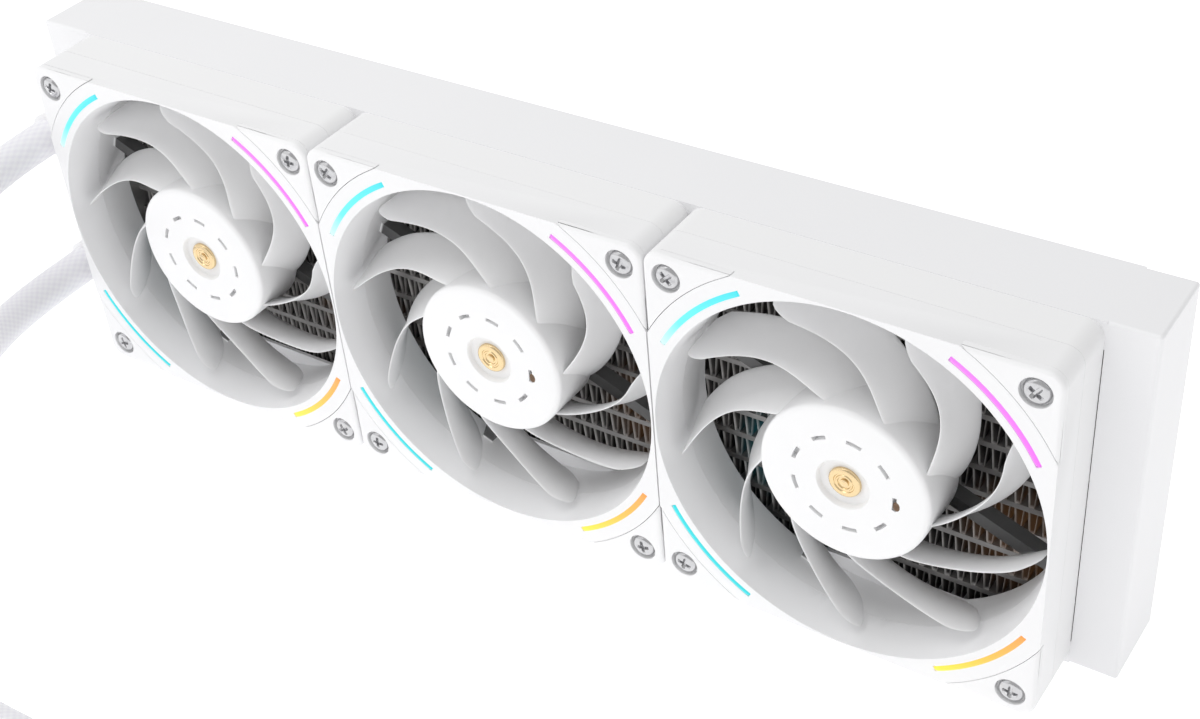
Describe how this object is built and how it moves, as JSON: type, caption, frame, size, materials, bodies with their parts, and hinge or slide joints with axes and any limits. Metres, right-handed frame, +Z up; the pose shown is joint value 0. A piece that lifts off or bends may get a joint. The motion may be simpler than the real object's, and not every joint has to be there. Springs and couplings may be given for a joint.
{
  "type": "liquid cooling radiator",
  "caption": "flat finned radiator between two end tanks, with lit axial fans screwed to its front and sleeved hoses to swivel elbows",
  "frame": {"origin": "middle of the underside of the radiator with its fans", "axes": "+X along the radiator away from the hose ports, +Y to its back, +Z up"},
  "size_m": [0.5173, 0.2071, 0.12],
  "materials": {
    "white_paint": "fine satin white powder coat",
    "core_metal": "brazed aluminium",
    "fin_metal": "thin louvred strip, dark in the shade of the fans",
    "white_plastic": "white moulding, fine matt texture",
    "rotor_plastic": "white moulding, smooth satin",
    "light_guide": "milky light pipe",
    "screw_chrome": "bright plated",
    "stator_steel": "laminated electrical steel",
    "bearing_brass": "sintered bronze sleeve",
    "shaft_steel": "ground steel",
    "magnet_black": "bonded magnet strip",
    "nut_gold": "polished, gold coloured",
    "board_green": "glass fibre circuit board",
    "fitting_white": "smooth white moulding",
    "hose_sleeve": "white braided sleeve over a rubber hose",
    "seal_rubber": "moulded O-ring"
  },
  "bodies": {
    "root": {"port_tank": "white_paint", "return_tank": "white_paint", "top_side_rail": "white_paint", "bottom_side_rail": "white_paint", "port_header": "core_metal", "return_header": "core_metal", "flow_divider": "core_metal", "coolant_tubes": "core_metal", "fin_strips": "fin_metal", "fan_1_frame": "white_plastic", "fan_1_bezel": "white_plastic", "fan_1_corner_caps": "white_plastic", "fan_1_light_guides": "light_guide", "fan_1_screws": "screw_chrome", "fan_1_stator": "stator_steel", "fan_1_bearing": "bearing_brass", "fan_1_circuit_board": "board_green", "fan_2_frame": "white_plastic", "fan_2_bezel": "white_plastic", "fan_2_corner_caps": "white_plastic", "fan_2_light_guides": "light_guide", "fan_2_screws": "screw_chrome", "fan_2_stator": "stator_steel", "fan_2_bearing": "bearing_brass", "fan_2_circuit_board": "board_green", "fan_3_frame": "white_plastic", "fan_3_bezel": "white_plastic", "fan_3_corner_caps": "white_plastic", "fan_3_light_guides": "light_guide", "fan_3_screws": "screw_chrome", "fan_3_stator": "stator_steel", "fan_3_bearing": "bearing_brass", "fan_3_circuit_board": "board_green", "upper_port_stub": "core_metal", "upper_port_ferrule": "fitting_white", "upper_hose": "hose_sleeve", "upper_end_ferrule": "fitting_white", "upper_elbow": "fitting_white", "upper_spigot_seal": "seal_rubber", "lower_port_stub": "core_metal", "lower_port_ferrule": "fitting_white", "lower_hose": "hose_sleeve", "lower_end_ferrule": "fitting_white", "lower_elbow": "fitting_white", "lower_spigot_seal": "seal_rubber"},
    "fan_1_wheel": {"fan_1_rotor": "rotor_plastic", "fan_1_shaft": "shaft_steel", "fan_1_magnet_ring": "magnet_black", "fan_1_hub_nut": "nut_gold"},
    "fan_2_wheel": {"fan_2_rotor": "rotor_plastic", "fan_2_shaft": "shaft_steel", "fan_2_magnet_ring": "magnet_black", "fan_2_hub_nut": "nut_gold"},
    "fan_3_wheel": {"fan_3_rotor": "rotor_plastic", "fan_3_shaft": "shaft_steel", "fan_3_magnet_ring": "magnet_black", "fan_3_hub_nut": "nut_gold"}
  },
  "joints": [
    {"name": "fan_1_spin", "type": "hinge", "parent": "root", "child": "fan_1_wheel", "pos_m": [-0.12, -0.03, 0.06], "axis": [0, 1, 0], "continuous": true},
    {"name": "fan_2_spin", "type": "hinge", "parent": "root", "child": "fan_2_wheel", "pos_m": [0, -0.03, 0.06], "axis": [0, 1, 0], "continuous": true},
    {"name": "fan_3_spin", "type": "hinge", "parent": "root", "child": "fan_3_wheel", "pos_m": [0.12, -0.03, 0.06], "axis": [0, 1, 0], "continuous": true}
  ]
}
